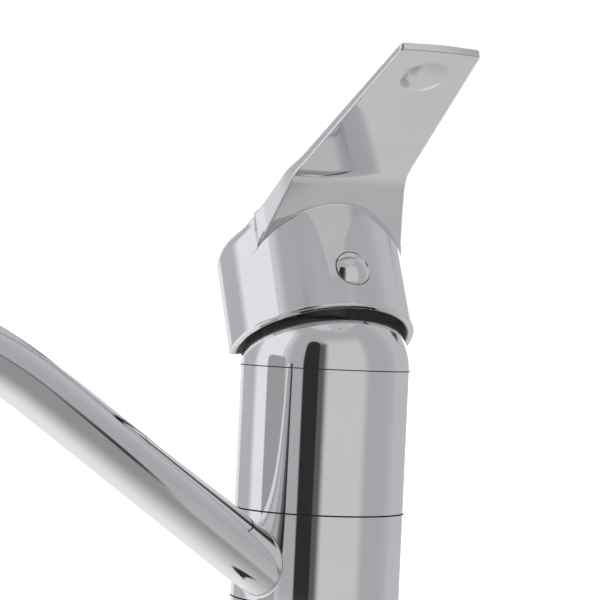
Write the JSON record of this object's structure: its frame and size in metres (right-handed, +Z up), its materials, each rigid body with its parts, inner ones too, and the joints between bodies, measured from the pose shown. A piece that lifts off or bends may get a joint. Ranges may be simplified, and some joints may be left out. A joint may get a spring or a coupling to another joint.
{
  "type": "single lever mixer tap",
  "caption": "Deck mounted single lever mixer tap: round body, domed cover, flat lever handle and a slim arched spout that swivels on a ring low on the body.",
  "frame": {"origin": "middle of the foot, on the deck's top face", "axes": "+Z up along the body axis, -Y to the front, where the lever points, +X to the right seen from the front"},
  "size_m": [0.2386, 0.1315, 0.243],
  "materials": {
    "polished_chrome": "mirror polished chrome plate",
    "bare_brass": "turned",
    "zinc_steel": "bright zinc",
    "black_rubber": "matt",
    "white_plastic": "moulded",
    "grey_plastic": "moulded",
    "ceramic": "lapped"
  },
  "bodies": {
    "body": {"body_casting": "polished_chrome", "base_body": "polished_chrome", "base_gasket": "black_rubber", "mounting_shank": "bare_brass", "rubber_washer": "black_rubber", "metal_washer": "zinc_steel", "mounting_nut": "zinc_steel", "upper_slip_ring": "white_plastic", "lower_slip_ring": "white_plastic", "upper_o_ring": "black_rubber", "lower_o_ring": "black_rubber", "cartridge_base": "grey_plastic", "port_seals": "black_rubber", "cartridge_housing": "white_plastic", "fixed_disc": "ceramic", "cartridge_nut": "bare_brass", "dome_cover": "polished_chrome"},
    "spout": {"swivel_ring": "polished_chrome", "spout_tube": "polished_chrome", "spout_collar": "polished_chrome", "aerator_gasket": "black_rubber", "aerator_insert": "white_plastic", "aerator_screen": "zinc_steel", "aerator_housing": "polished_chrome"},
    "turning_sleeve": {"turning_sleeve": "white_plastic", "stem_pin": "zinc_steel"},
    "disc": {"disc_carrier": "grey_plastic", "moving_disc": "ceramic"},
    "lever": {"stem": "zinc_steel", "handle": "polished_chrome", "grub_screw": "zinc_steel", "plug_button": "polished_chrome"}
  },
  "joints": [
    {"name": "spout_swivel", "type": "hinge", "parent": "body", "child": "spout", "pos_m": [0, 0, 0.049], "axis": [0, 0, 1], "continuous": true},
    {"name": "temperature_turn", "type": "hinge", "parent": "body", "child": "turning_sleeve", "pos_m": [0, 0, 0.1035], "axis": [0, 0, 1], "range_deg": [-45, 45]},
    {"name": "lever_lift", "type": "hinge", "parent": "turning_sleeve", "child": "lever", "pos_m": [0, 0, 0.1035], "axis": [-1, 0, 0], "range_deg": [-26.3, 0]},
    {"name": "disc_slide", "type": "slide", "parent": "turning_sleeve", "child": "disc", "axis": [0, 1, 0], "range_m": [0, 0.00638]}
  ],
  "couplings": [
    {"joint": "disc_slide", "follows": "lever_lift", "m_per_rad": -0.013877}
  ]
}
